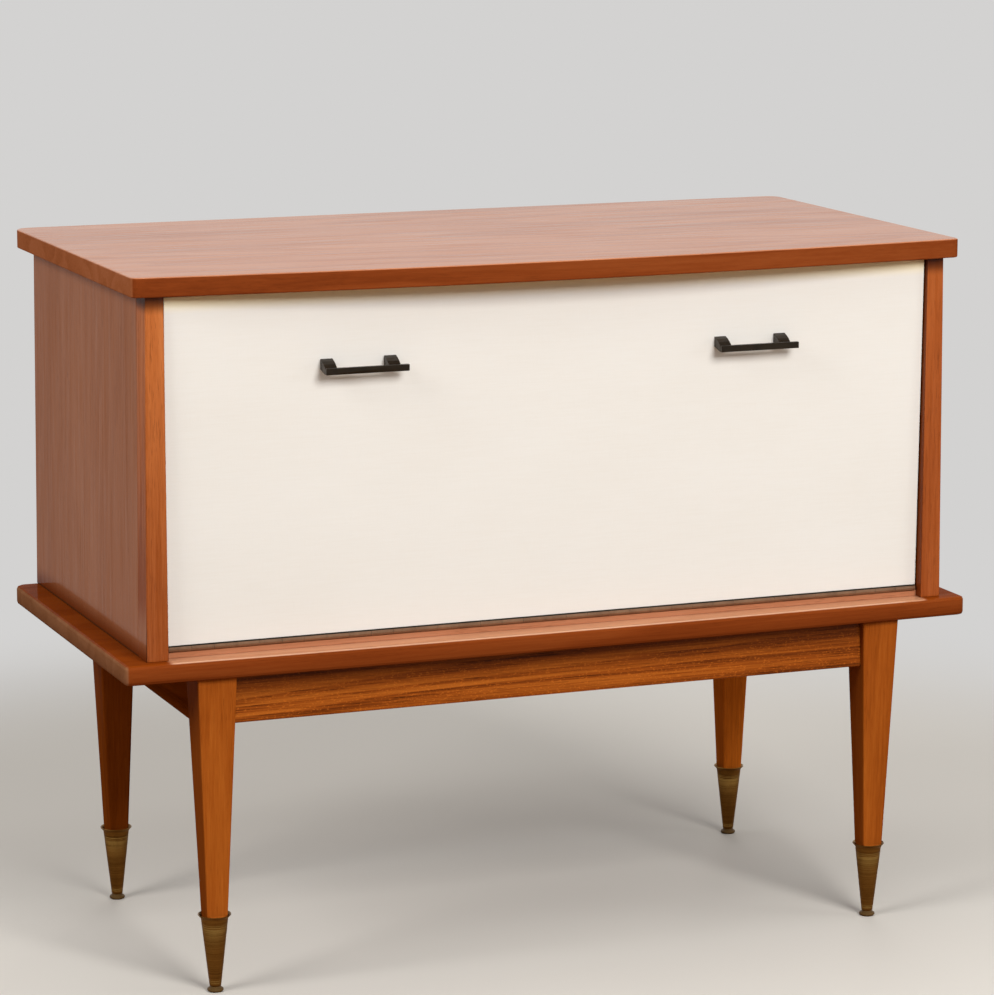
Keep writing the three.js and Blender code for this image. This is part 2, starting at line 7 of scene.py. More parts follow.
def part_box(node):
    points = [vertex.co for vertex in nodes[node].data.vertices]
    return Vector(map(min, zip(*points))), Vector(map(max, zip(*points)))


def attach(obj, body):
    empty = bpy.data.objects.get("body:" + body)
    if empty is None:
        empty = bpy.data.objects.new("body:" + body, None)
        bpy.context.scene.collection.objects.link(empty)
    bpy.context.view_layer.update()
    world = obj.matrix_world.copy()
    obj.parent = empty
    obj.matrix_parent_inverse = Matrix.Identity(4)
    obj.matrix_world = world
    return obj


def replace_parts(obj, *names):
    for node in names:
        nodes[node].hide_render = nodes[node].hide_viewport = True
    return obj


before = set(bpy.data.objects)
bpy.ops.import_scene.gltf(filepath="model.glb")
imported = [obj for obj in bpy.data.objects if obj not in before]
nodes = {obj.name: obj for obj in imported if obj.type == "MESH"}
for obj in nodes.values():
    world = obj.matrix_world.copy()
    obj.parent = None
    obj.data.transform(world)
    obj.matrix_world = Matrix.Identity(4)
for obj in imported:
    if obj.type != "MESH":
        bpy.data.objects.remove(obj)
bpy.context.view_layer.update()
scene = bpy.context.scene

# The bar cabinet of the frame, finished as in the photograph. Lengths are in metres, Z is up,
# -Y is the front, and the origin lies on the floor under the cabinet's middle.

SIDES = ("left", "right")
ENDS = ("front", "back")


# Places that the finishes and the fittings share

def middle(low, high):
    return tuple((a + b) / 2 for a, b in zip(low, high))


def side_faces(name):
    """The planes of the two faces of a right leg that look to the left and right, each as
    its normal and its distance."""
    found = {}
    for face in nodes[name].data.polygons:
        side = round(face.normal.x)
        if side and (side not in found or face.area > found[side].area):
            found[side] = face
    return [(tuple(face.normal), face.normal.dot(face.center)) for face in found.values()]


HINGE_AXIS = Vector(middle(*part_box("hinge_pin")))
FRONT_LEG_SIDES = side_faces("leg_front_right")
(_, _, TOP_UNDERSIDE), (TOP_END, _, TOP_HEIGHT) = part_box("top_panel")
(_, _, BASE_UNDERSIDE), (BASE_END, _, BASE_HEIGHT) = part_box("base_panel")
(OPENING_EDGE, LIPPING_FRONT, _), (CASE_SIDE, _, _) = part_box("side_lipping_right")


# Shader helpers

def paint(red, green, blue):
    """A colour as it looks on a screen, 0 to 255, turned to the shader's own scale."""
    def linear(value):
        value /= 255
        return value / 12.92 if value <= 0.04045 else ((value + 0.055) / 1.055) ** 2.4
    return (linear(red), linear(green), linear(blue), 1.0)


def shade(colour, share):
    """The same colour with only that share of its light."""
    return tuple(channel * share for channel in colour[:3]) + (1.0,)


class Value:
    """A number in a shader. Python's signs on it add Math nodes."""

    def __init__(self, finish, socket):
        self.finish = finish
        self.socket = socket

    def _math(self, operation, first, second=0.0):
        node = self.finish.node("ShaderNodeMath", {0: first, 1: second}, operation=operation)
        return Value(self.finish, node.outputs[0])

    def __add__(self, other):
        return self._math("ADD", self, other)

    __radd__ = __add__

    def __mul__(self, other):
        return self._math("MULTIPLY", self, other)

    __rmul__ = __mul__

    def __sub__(self, other):
        return self._math("SUBTRACT", self, other)

    def __rsub__(self, other):
        return self._math("SUBTRACT", other, self)

    def __truediv__(self, other):
        return self._math("DIVIDE", self, other)

    def fraction(self):
        return self._math("FRACT", self)

    def size(self):
        return self._math("ABSOLUTE", self)

    def root(self):
        return self._math("SQRT", self)

    def between(self, low, high):
        """0 at low, 1 at high and in between a soft step. Low may lie over high."""
        node = self.finish.node("ShaderNodeMapRange",
                                {"Value": self, "From Min": low, "From Max": high},
                                interpolation_type="SMOOTHSTEP", clamp=True)
        return Value(self.finish, node.outputs[0])


class Finish:
    """A material, with the few nodes that this cabinet's finishes are made of."""

    RAMP_PLACES = (0.0, 0.5, 1.0)

    def __init__(self, name):
        self.material = bpy.data.materials.new(name)
        self.material.use_nodes = True
        self.tree = self.material.node_tree
        self.shader = self.tree.nodes["Principled BSDF"]

    def node(self, kind, sockets=None, **settings):
        """Any node, with its settings, and with a value or a link for some of its sockets."""
        node = self.tree.nodes.new(kind)
        for key, value in settings.items():
            setattr(node, key, value)
        for key, value in (sockets or {}).items():
            self.put(node.inputs[key], value)
        return node

    def put(self, socket, value):
        if isinstance(value, Value):
            value = value.socket
        if isinstance(value, bpy.types.NodeSocket):
            self.tree.links.new(value, socket)
        else:
            socket.default_value = value

    def set(self, **settings):
        """Settings of the shader that are the same all over, such as coat_weight=0.2."""
        for key, value in settings.items():
            name = key.replace("_", " ").title().replace("Ior", "IOR")
            self.shader.inputs[name].default_value = value

    def link(self, name, value):
        self.put(self.shader.inputs[name], value)

    def position(self):
        """The three object coordinates, in metres."""
        place = self.node("ShaderNodeTexCoord").outputs["Object"]
        parts = self.node("ShaderNodeSeparateXYZ", {0: place})
        return [Value(self, out) for out in parts.outputs]

    def vector(self, x, y, z):
        return self.node("ShaderNodeCombineXYZ", {0: x, 1: y, 2: z}).outputs[0]

    def noise(self, vector, detail=2.0, roughness=0.5):
        node = self.node("ShaderNodeTexNoise", {"Vector": vector, "Scale": 1.0, "Detail": detail,
                                                "Roughness": roughness})
        return Value(self, node.outputs[0])

    def even_noise(self, rate, detail=2.0, roughness=0.5):
        """Noise that changes about rate times in a metre, the same in every direction."""
        x, y, z = self.position()
        return self.noise(self.vector(x * rate, y * rate, z * rate), detail, roughness)

    def mix(self, factor, first, second):
        return self.node("ShaderNodeMix", {0: factor, 6: first, 7: second},
                         data_type="RGBA").outputs[2]

    def ramp(self, factor, colours):
        """A wood's three colours: bright at 0, the usual one at 0.5 and dark at 1."""
        node = self.node("ShaderNodeValToRGB", {0: factor})
        stops = node.color_ramp.elements
        stops.new(0.5)
        for stop, place, colour in zip(stops, self.RAMP_PLACES, colours):
            stop.position = place
            stop.color = colour
        return node.outputs[0]

    def bump(self, height, strength, distance=0.0002):
        return self.node("ShaderNodeBump", {"Height": height, "Strength": strength,
                                            "Distance": distance}).outputs[0]


# Colours. Each wood has a bright, a usual and a dark one.

BOUNCE_COLOUR = paint(150, 122, 96)
FLOOR_COLOUR = paint(222, 217, 209)
BACKDROP_COLOUR = paint(211, 210, 209)
# Painted warm light under the top board, as its underside would bounce it onto the flap
WARM_BOUNCE_CREAM = paint(250, 238, 200)
# Painted shade and reflection of the dark base board on the side wall's foot
BASE_SHADE_AND_REFLECTION = paint(116, 50, 10)
TOP_WOOD = paint(151, 80, 39), paint(130, 61, 25), paint(97, 40, 14)
TOP_FACE = paint(214, 146, 106), paint(196, 124, 83), paint(161, 92, 56)
TOP_END_WOOD = paint(182, 114, 78), paint(166, 98, 60), paint(140, 76, 42)
BASE_WOOD = paint(154, 80, 35), paint(134, 62, 23), paint(98, 40, 11)
# The base board's face with a painted reflection of the cream flap in front of the opening
BASE_FACE_AND_FLAP_REFLECTION = paint(226, 172, 136), paint(210, 153, 116), paint(180, 120, 86)
BASE_FACE_BESIDE = paint(152, 74, 20), paint(135, 60, 12), paint(108, 44, 8)
BASE_END_WOOD = paint(163, 114, 82), paint(148, 100, 68), paint(124, 78, 48)
SILL = paint(202, 142, 108), paint(186, 123, 88), paint(156, 93, 60)
SIDE = paint(182, 122, 88), paint(166, 105, 70), paint(141, 82, 48)
# Lit and shaded copies of one lipping wood: painted light on the left lipping, painted shade on
# the right one
LIT_LEFT_LIPPING = paint(213, 133, 74), paint(191, 108, 53), paint(148, 74, 29)
SHADED_RIGHT_LIPPING = paint(190, 108, 53), paint(169, 87, 37), paint(130, 58, 19)
TEAK = paint(186, 104, 36), paint(158, 80, 23), paint(110, 48, 9)
# Shaded and lit copies of TEAK: painted shade on the back left leg and the side aprons, painted
# light on the back right leg
SHADED_TEAK = paint(144, 73, 18), paint(119, 55, 9), paint(79, 31, 3)
LIT_TEAK = paint(235, 138, 50), paint(212, 114, 33), paint(158, 75, 15)
APRON = paint(183, 100, 32), paint(151, 74, 19), paint(84, 35, 6)
PLYWOOD = paint(216, 184, 142), paint(200, 164, 118), paint(168, 128, 84)


# Wood. How often each layer of its grain changes in a metre, across the grain and along it

HILLS = (9.0, 1.1)
RIPPLES = (60.0, 6.0)
STREAKS = (330.0, 7.0)
FIBRES = (1300.0, 30.0)
CLOUDS = (14.0, 2.0)
PORES = (1100.0, 60.0)
FLECKS = (620.0, 330.0)

# The heights between which painted shade darkens a wood towards its foot
FOOT_SHADE = (BASE_HEIGHT - 0.01, TOP_UNDERSIDE + 0.005)

# How far the polish of a board's face fades out down its edge
FACE_FADE = 0.0008

# How thick the side wall's veneer is on a lipping
VENEER = 0.0007

# How deep the painted shade that lies on a face goes into the wood
FACE_DEPTH = (0.0003, 0.001)


def veneered_over(f, colour, height, skin_colour, dark):
    """A lipping's colour with the side wall's veneer over its outer face, with painted shade on
    the face in the opening, and with painted shade and reflection of the base board on the
    veneer's foot."""
    x, y, _ = f.position()
    # Painted shade on the lipping's face in the opening
    opening_shade = 1.0 - x.size().between(OPENING_EDGE + 0.0003, OPENING_EDGE + 0.0008)
    colour = f.mix(opening_shade * 0.8, colour, shade(dark, 0.55))
    skin = x.size().between(CASE_SIDE - VENEER, CASE_SIDE - 0.0003)
    colour = f.mix(skin, colour, skin_colour)
    # Painted shade and reflection of the base board on the veneer's foot
    foot = 1.0 - height.between(*BASE_SHADE_AND_REFLECTION_BAND)
    colour = f.mix(skin * foot * 0.95, colour, BASE_SHADE_AND_REFLECTION)
    glue_line = 1.0 - y.between(LIPPING_FRONT + 0.001, LIPPING_FRONT + 0.0026)
    return f.mix(skin * glue_line * 0.9, colour, shade(dark, 0.2))


def with_painted_shade(f, colour, planes, dark):
    """The colour with painted shade on the faces that lie in the planes, left and right alike."""
    x, y, z = f.position()
    for (nx, ny, nz), distance in planes:
        depth = distance - (x.size() * nx + y * ny + z * nz)
        on_face = 1.0 - depth.between(*FACE_DEPTH)
        colour = f.mix(on_face * 0.5, colour, dark)
    return colour


def wood(name, along, colours, figure=0.3, turns=7.0, streaks=0.5, fibres=0.35, pores=0.35,
         clouds=0.5, flecks=0.0, shift=0.0, stretch=1.0, painted_foot_shade=0.0, roughness=0.36,
         specular=0.1, coat=0.0, coat_ior=1.5, face=None, ends=None, beside=None, joints=(),
         shaded_faces=(), veneer=None):
    """Varnished wood. Along is the axis that the grain runs on, and stretch draws the grain
    out. The figure is made of the growth rings that a slanted cut shows, as the level lines
    of a slow noise. Fine streaks, fibres and short pores lie over them.

    Face is the height over which a board is polished and its colours there. Ends and beside
    are zones at both ends of a board, of all of it and of its face: where they start and
    end, out from the middle, and their colours. Shade bands are bands of painted shade, most
    of it the shadow of a neighbour: where it is full, where it ends, its strength and its colour."""
    f = Finish(name)
    place = f.position()
    height = place[2]
    length = place.pop("xyz".index(along))
    a, b = place
    a = a + shift
    drawn_out = length * (1.0 / stretch)
    from_middle = f.position()[0].size()

    def layer(rates, detail=2.0, smoothness=0.5, run=drawn_out):
        across, lengthwise = rates
        return f.noise(f.vector(a * across, b * across, run * lengthwise), detail, smoothness)

    rings = (layer(HILLS, 1.5, 0.45) * turns + layer(RIPPLES) * 0.35).fraction()
    ring = rings.between(0.05, 0.8) * (1.0 - rings.between(0.86, 1.0))
    streak = layer(STREAKS, 3.0, 0.62)
    fibre = layer(FIBRES)
    pore = layer(PORES, 1.0).between(0.6, 0.7)
    even_tone = (0.45 + (ring - 0.45) * figure + (streak - 0.5) * streaks
                 + (fibre - 0.5) * fibres + (layer(CLOUDS) - 0.5) * clouds)
    tone = even_tone
    # Painted shade: the wood darkens towards its foot
    if painted_foot_shade:
        tone = tone + (1.0 - height.between(*FOOT_SHADE)) * painted_foot_shade

    def with_zone(colour, zone):
        if zone is None:
            return colour
        start, end, zone_colours = zone
        return f.mix(from_middle.between(start, end), colour, f.ramp(tone, zone_colours))

    colour = with_zone(f.ramp(tone, colours), ends)
    gloss = (1.0 - (streak - 0.5) * 1.6) * coat
    if face:
        face_height, face_colours = face
        polished = height.between(face_height - FACE_FADE, face_height)
        gloss = gloss * polished
        if beside:
            gloss = gloss * (1.0 - from_middle.between(beside[0], beside[1]) * 0.8)
        colour = f.mix(polished, colour, with_zone(f.ramp(tone, face_colours), beside))
    if flecks:
        fleck = layer(FLECKS, run=length).between(0.56, 0.68)
        colour = f.mix(fleck * flecks, colour, shade(colours[0], 1.7))
    colour = f.mix(pore * pores * (0.4 + 0.6 * ring), colour, shade(colours[2], 0.35))
    if veneer:
        colour = veneered_over(f, colour, height, f.ramp(even_tone, veneer), colours[2])
    if shaded_faces:
        colour = with_painted_shade(f, colour, shaded_faces, shade(colours[2], 0.9))
    # Painted shade in bands, most of it the shadow of a neighbour
    for full, end, strength, shadow in joints:
        colour = f.mix((1.0 - height.between(full, end)) * strength, colour, shadow)
    f.link("Base Color", colour)
    f.link("Roughness", roughness + (fibre - 0.5) * 0.12 + pore * 0.15)
    f.link("Normal", f.bump(fibre * 0.3 + streak * 0.2 - pore * 0.6, 0.2))
    if coat:
        f.link("Coat Weight", gloss.between(0.0, 1.0))
    f.set(specular_ior_level=specular, coat_roughness=0.09, coat_ior=coat_ior)
    return f.material


# The bands in which painted shade darkens the wood, most of it the shadow of a neighbour
# Painted shade and reflection of the base on the side wall's foot, and painted shade in its joint
# with the base
BASE_SHADE_AND_REFLECTION_BAND = (BASE_HEIGHT + 0.0005, BASE_HEIGHT + 0.026)
JOINT_SHADE_BAND = (BASE_HEIGHT + 0.0005, BASE_HEIGHT + 0.0035)
# Painted shadow of the top board under the lippings' heads
LIPPING_HEAD_SHADOW_BAND = (TOP_UNDERSIDE - 0.0065, TOP_UNDERSIDE - 0.021)
# Painted shade, darker towards the base board's underside
BASE_EDGE_SHADE_BAND = (BASE_UNDERSIDE, BASE_HEIGHT - 0.001)
# Painted shadow of the base board on the apron's head
APRON_HEAD_SHADOW_BAND = (BASE_UNDERSIDE - 0.013, BASE_UNDERSIDE - 0.038)


def lipping(name, colours, painted_foot_shade):
    """The solid lipping on a side wall's front edge. Its outer face is veneered over."""
    # Painted shadow of the top board under its head
    return wood(name, "z", colours, figure=0.15, streaks=0.6, fibres=0.5, pores=0.4, specular=0.0,
                coat=0.3, shift=0.37, painted_foot_shade=painted_foot_shade, veneer=SIDE,
                joints=[(*LIPPING_HEAD_SHADOW_BAND, 0.9, shade(colours[2], 0.3))])


def leg(name, colours, shaded_faces=()):
    return wood(name, "z", colours, figure=0.15, streaks=0.6, fibres=0.35, pores=0.25,
                shift=0.13, stretch=2.5, specular=0.0, coat=0.12, shaded_faces=shaded_faces)


# Laminate. How often its threads change in a metre, along them and across them

LEVEL_THREADS = (45.0, 1300.0)
SLUBS = (16.0, 380.0)
UPRIGHT_THREADS = (1300.0, 45.0)

# The band under the top board where the flap takes painted warm light, as the board's underside
# would bounce it
WARM_BOUNCE_BAND = (TOP_UNDERSIDE - 0.022, TOP_UNDERSIDE - 0.005)


def laminate(name, colour, thread_colour, contrast=0.45, warm_bounce=0.0):
    """Laminate with a faint linen figure: short level threads and a few upright ones. Where
    asked, a band under the top board takes painted warm light, as the board's underside would
    bounce it.
    """
    f = Finish(name)
    x, y, z = f.position()
    height = y + z

    def threads(rates, detail=2.0, smoothness=0.5):
        return f.noise(f.vector(x * rates[0], 0.0, height * rates[1]), detail, smoothness)

    thread = threads(LEVEL_THREADS)
    slub = threads(SLUBS, 3.0, 0.6)
    warp = threads(UPRIGHT_THREADS, 1.0)
    cloud = f.noise(f.vector(x * 5.0, y * 5.0, z * 9.0))
    figure = (thread - 0.5) * 0.9 + (slub - 0.5) + (warp - 0.5) * 0.6
    tone = 0.4 + figure * contrast + (cloud - 0.5) * 0.4
    linen = f.mix(tone.between(0.0, 1.0), colour, thread_colour)
    # The band under the top board is tinted with painted warm bounce light
    f.link("Base Color", f.mix(z.between(*WARM_BOUNCE_BAND) * warm_bounce, linen, WARM_BOUNCE_CREAM))
    f.link("Roughness", 0.48 + (thread - 0.5) * 0.1)
    f.link("Normal", f.bump(thread * 0.6 + slub + warp * 0.4, 0.1))
    f.set(specular_ior_level=0.3)
    return f.material


# Metal, plastic and glass

TOOL_RING_PITCH = 0.0006

# The hinge keeps its own colour this far under and over its axis; beyond, painted shade darkens
# the gaps over and under its knuckles
UNSHADED_UNDER_AXIS = 0.0025
UNSHADED_OVER_AXIS = 0.0022
SHADE_FADE = 0.0006


def aged_metal(name, bright, worn, roughness, metallic=1.0, patches=0.5, rings=0.0,
               knuckle_shade=False):
    """Metal with a soft patina in patches, fine specks and, where rings is given, the fine
    rings that a lathe's tool leaves round Z. On a hinge, painted shade darkens the gaps over
    and under its knuckles."""
    f = Finish(name)
    x, y, z = f.position()
    patch = f.even_noise(60.0, detail=4.0, roughness=0.65)
    speck = f.even_noise(900.0)
    tone = 0.4 + (patch - 0.5) * 2.0 * patches + (speck - 0.5) * 0.4
    height = speck * 0.2
    if rings:
        ring = f.noise(f.vector(x * 9.0, y * 9.0, z / TOOL_RING_PITCH))
        tone = tone + (ring - 0.5) * rings
        height = height + ring
    colour = f.mix(tone.between(0.0, 1.0), bright, worn)
    # Painted shade over and under the hinge's knuckles
    if knuckle_shade:
        low = HINGE_AXIS[2] - UNSHADED_UNDER_AXIS
        high = HINGE_AXIS[2] + UNSHADED_OVER_AXIS
        unshaded = z.between(low - SHADE_FADE, low) * (1.0 - z.between(high, high + SHADE_FADE))
        colour = f.mix(unshaded, shade(worn, 0.12), colour)
    f.link("Base Color", colour)
    f.link("Roughness", roughness + (patch - 0.5) * 0.2)
    f.link("Normal", f.bump(height, 0.25))
    f.set(metallic=metallic)
    return f.material


def moulded(name, colour, roughness, specular=0.5):
    """Moulded plastic with a faint spark-eroded texture."""
    f = Finish(name)
    grit = f.even_noise(1500.0)
    cloud = f.even_noise(40.0)
    tone = (cloud * 0.6 + grit * 0.4).between(0.3, 0.7)
    f.link("Base Color", f.mix(tone, colour, shade(colour, 0.8)))
    f.link("Roughness", roughness + (grit - 0.5) * 0.2)
    f.link("Normal", f.bump(grit, 0.2))
    f.set(specular_ior_level=specular)
    return f.material


def float_glass(name):
    f = Finish(name)
    haze = f.even_noise(8.0)
    f.link("Base Color", f.mix(haze, paint(236, 246, 242), paint(226, 240, 234)))
    f.link("Roughness", 0.015 + haze * 0.02)
    f.set(transmission_weight=1.0, ior=1.5)
    return f.material


def silvered(name):
    f = Finish(name)
    haze = f.even_noise(5.0, detail=3.0)
    f.link("Base Color", f.mix(haze, paint(226, 230, 230), paint(208, 214, 214)))
    f.link("Roughness", 0.01 + haze * 0.03)
    f.set(metallic=1.0)
    return f.material


FINISHES = {
    "top": wood("top_veneer", "x", TOP_WOOD, figure=0.22, turns=9.0, streaks=0.6, fibres=0.25,
                pores=0.2, roughness=0.34, specular=0.0, coat=0.72,
                face=(TOP_HEIGHT - 0.0005, TOP_FACE),
                ends=(TOP_END - 0.0022, TOP_END - 0.0008, TOP_END_WOOD)),
    "base": wood("base_veneer", "x", BASE_WOOD, figure=0.2, streaks=0.6, fibres=0.25, pores=0.2,
                 roughness=0.32, specular=0.0, coat=1.0, coat_ior=1.9,
                 # In front of the opening the face takes a painted reflection of the cream flap;
                 # beside it the face keeps its own colour
                 face=(BASE_HEIGHT - 0.0005, BASE_FACE_AND_FLAP_REFLECTION),
                 ends=(BASE_END - 0.0043, BASE_END - 0.002, BASE_END_WOOD),
                 beside=(OPENING_EDGE - 0.004, OPENING_EDGE + 0.004, BASE_FACE_BESIDE),
                 # Painted shade, darker towards the board's underside
                 joints=[(*BASE_EDGE_SHADE_BAND, 0.4, shade(BASE_WOOD[2], 0.6))]),
    "side": wood("side_veneer", "z", SIDE, figure=0.1, streaks=0.38, fibres=0.3, pores=0.25,
                 roughness=0.42, specular=0.0, coat=0.3,
                 # Painted shade and reflection of the base board at the foot, and painted shade
                 # in the joint with the base
                 joints=[(*BASE_SHADE_AND_REFLECTION_BAND, 0.95, BASE_SHADE_AND_REFLECTION),
                         (*JOINT_SHADE_BAND, 1.0, shade(SIDE[2], 0.3))]),
    # The left lipping takes painted light and the right one painted shade, each with painted
    # shade down to its foot
    "lipping_left": lipping("lit_lipping_left_teak", LIT_LEFT_LIPPING, 0.6),
    "lipping_right": lipping("shaded_lipping_right_teak", SHADED_RIGHT_LIPPING, 0.2),
    # Painted shade on the front legs' faces that look left and right
    "leg": leg("leg_teak", TEAK, FRONT_LEG_SIDES),
    # Painted shade on the back left leg and painted light on the back right one
    "dark_leg": leg("shaded_leg_teak", SHADED_TEAK),
    "light_leg": leg("lit_leg_teak", LIT_TEAK),
    "length": wood("lengthwise_teak", "x", APRON, figure=0.42, turns=22.0, streaks=1.4,
                   fibres=1.1, pores=0.9, clouds=0.4, flecks=0.3, stretch=2.4,
                   # Painted shadow of the base board on the apron's head
                   joints=[(*APRON_HEAD_SHADOW_BAND, 0.55, shade(APRON[2], 0.6))]),
    "sill": wood("sill_teak", "x", SILL, figure=0.15, streaks=0.5, fibres=0.4, pores=0.4),
    # The side aprons take the shaded copy of teak: painted shade
    "depth": wood("depthwise_teak", "y", SHADED_TEAK, figure=0.3, streaks=0.5, fibres=0.4,
                  pores=0.5, specular=0.0),
    "plywood": wood("raw_plywood", "x", PLYWOOD, figure=0.4, turns=8.0, streaks=0.5, fibres=0.4,
                    pores=0.35, roughness=0.66, specular=0.2, shift=0.7),
    # The flap's cream takes painted warm bounce light under the top board
    "cream": laminate("cream_laminate", paint(240, 239, 235), paint(232, 228, 220),
                      contrast=0.3, warm_bounce=1.0),
    "core": laminate("core_edge", paint(238, 229, 214), paint(226, 214, 196)),
    "brass": aged_metal("aged_brass", paint(176, 140, 76), paint(110, 82, 38), 0.34),
    "turned": aged_metal("turned_brass", paint(168, 130, 68), paint(112, 82, 36), 0.33,
                         patches=0.25, rings=1.5),
    "steel": aged_metal("plated_steel", paint(134, 102, 75), paint(88, 63, 45), 0.45,
                        metallic=0.55),
    "hinge": aged_metal("hinge_steel", paint(150, 114, 86), paint(104, 76, 56), 0.45,
                        metallic=0.5, knuckle_shade=True),
    "bronze": aged_metal("dark_bronze", paint(50, 39, 24), paint(19, 14, 9), 0.34,
                         metallic=0.6),
    "glass": float_glass("float_glass"),
    "mirror": silvered("silvered_glass"),
    "glide": moulded("glide_plastic", paint(96, 72, 40), 0.4, specular=0.15),
    "catch": moulded("catch_plastic", paint(226, 216, 198), 0.5),
}

# The finish of each CAD node, by how its name starts. The first that fits counts.
NODE_FINISHES = (
    ("top_panel", "top"), ("base_panel", "base"), ("side_panel", "side"),
    ("side_lipping_left", "lipping_left"), ("side_lipping_right", "lipping_right"),
    ("back_panel", "plywood"), ("corner_block", "plywood"), ("sill_rail", "sill"),
    ("top_rail", "length"), ("floor_panel", "cream"), ("mirror", "mirror"),
    ("glass_shelf", "glass"), ("shelf_pin", "brass"), ("flap_core", "core"), ("flap_", "cream"),
    ("hinge_", "hinge"), ("handle_", "bronze"), ("catch_", "catch"), ("strike_", "steel"),
    ("stay_", "brass"), ("leg_back_left", "dark_leg"), ("leg_back_right", "light_leg"),
    ("leg_", "leg"), ("ferrule_", "turned"), ("glide_", "glide"), ("apron_front", "length"),
    ("apron_back", "length"), ("apron_", "depth"),
)

# How far the edges of a CAD node are eased, by how its name starts
EASED_EDGES = (
    ("side_panel", 0.0006), ("side_lipping", 0.0009), ("apron", 0.0015), ("sill_rail", 0.0006),
    ("top_rail", 0.001), ("floor_panel", 0.0005), ("flap_", 0.0003), ("mirror", 0.0005),
    ("corner_block", 0.0015), ("handle", 0.0005), ("strike_plate", 0.0003),
    ("back_panel", 0.0004),
)
WELD_DISTANCE = 0.00002
EASED_ANGLE = math.radians(40)


def by_start(table, name, otherwise=None):
    return next((value for start, value in table if name.startswith(start)), otherwise)


def dress_cad_nodes():
    for name, node in nodes.items():
        node.data.materials.clear()
        node.data.materials.append(FINISHES[by_start(NODE_FINISHES, name)])
        weld = node.modifiers.new("weld", "WELD")
        weld.merge_threshold = WELD_DISTANCE
        width = by_start(EASED_EDGES, name, 0.0)
        if width:
            ease = node.modifiers.new("ease", "BEVEL")
            ease.width = width
            ease.segments = 2
            ease.limit_method = "ANGLE"
            ease.angle_limit = EASED_ANGLE
            ease.harden_normals = False


# Modelling helpers

def deselect():
    if bpy.context.object and bpy.context.object.mode != "OBJECT":
        bpy.ops.object.mode_set(mode="OBJECT")
    bpy.ops.object.select_all(action="DESELECT")


def activate(piece):
    deselect()
    piece.select_set(True)
    bpy.context.view_layer.objects.active = piece


def settle(piece):
    """Puts a piece's turn and place into its mesh, so that its object is at the origin."""
    activate(piece)
    bpy.ops.object.transform_apply(location=True, rotation=True, scale=True)


def apply_modifier(piece, kind, **settings):
    activate(piece)
    modifier = piece.modifiers.new(kind.lower(), kind)
    for key, value in settings.items():
        setattr(modifier, key, value)
    bpy.ops.object.modifier_apply(modifier=modifier.name)


def edit_faces(piece, test):
    """Goes into edit mode with just the faces selected for which the test is true."""
    activate(piece)
    for face in piece.data.polygons:
        face.select = test(face)
    for edge in piece.data.edges:
        edge.select = False
    for corner in piece.data.vertices:
        corner.select = False
    for face in piece.data.polygons:
        if face.select:
            for corner in face.vertices:
                piece.data.vertices[corner].select = True
    bpy.ops.object.mode_set(mode="EDIT")
    bpy.ops.mesh.select_mode(type="FACE")


def copied(piece, name, place, turn=None):
    """A copy with its own mesh, set at a place, with its turn and place in its mesh."""
    twin = piece.copy()
    twin.data = piece.data.copy()
    twin.name = name
    scene.collection.objects.link(twin)
    twin.matrix_world = Matrix.Translation(place) @ (turn or Matrix.Identity(4))
    settle(twin)
    return twin


def removed(piece):
    activate(piece)
    bpy.ops.object.delete()


def joined(pieces, name):
    deselect()
    for piece in pieces:
        piece.select_set(True)
    bpy.context.view_layer.objects.active = pieces[0]
    bpy.ops.object.join()
    pieces[0].name = name
    pieces[0].data.name = name
    return pieces[0]


def finished(piece, body, finish, smooth_degrees=35.0):
    activate(piece)
    bpy.ops.object.shade_smooth_by_angle(angle=math.radians(smooth_degrees))
    piece.data.materials.clear()
    piece.data.materials.append(FINISHES[finish])
    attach(piece, body)
    return piece


def spread(low, high, count):
    """That many places from low to high, all the same distance apart."""
    return [low + (high - low) * number / (count - 1) for number in range(count)]


# Places on the flap, which leans forward

FLAP_LEAN = math.radians(1)
FLAP_THICKNESS = 0.0176
FITTING_FACE = FLAP_THICKNESS + 0.0018


def flap_place(x, depth, height):
    """A place on the flap: depth behind its front face, height over the hinge's axis."""
    return HINGE_AXIS + Matrix.Rotation(FLAP_LEAN, 3, "X") @ Vector((x, depth, height))


def flap_direction(direction):
    return Matrix.Rotation(FLAP_LEAN, 3, "X") @ Vector(direction)


def height_on_flap(z):
    return (z - HINGE_AXIS[2]) / math.cos(FLAP_LEAN)


# Screws. Each slot is turned this much further than the last one

SLOT_TURN = math.radians(137.5)
HEAD_SIDES = 24

LEAF_SCREWS = 14
LEAF_SCREW_END = 0.022
LEAF_SCREW_BACK = 0.012
LEAF_THICKNESS = 0.0012
LEAF_UNDERSIDE = 0.002

# Half the distance between the two screws of a fitting
BRACKET_SCREW_STEP = 0.0115
STRIKE_SCREW_STEP = 0.012
CATCH_SCREW_STEP = 0.0155

BRACKET_SCREW_INSET = 0.011
CATCH_SCREW_BACK = 0.002
HANDLE_SCREW_DROP = 0.0055

BACK_SCREW_EDGE = 0.0045
BACK_SCREW_HEAD = 0.03
BACK_SCREW_SIDE = 0.06
BACK_SCREW_FOOT = 0.009
BACK_SCREWS_UP = 6
BACK_SCREWS_ACROSS = 7

CARCASS_SCREW_DEPTHS = (-0.14, 0.01, 0.16)
BLOCK_SCREW_SHARE = 0.55


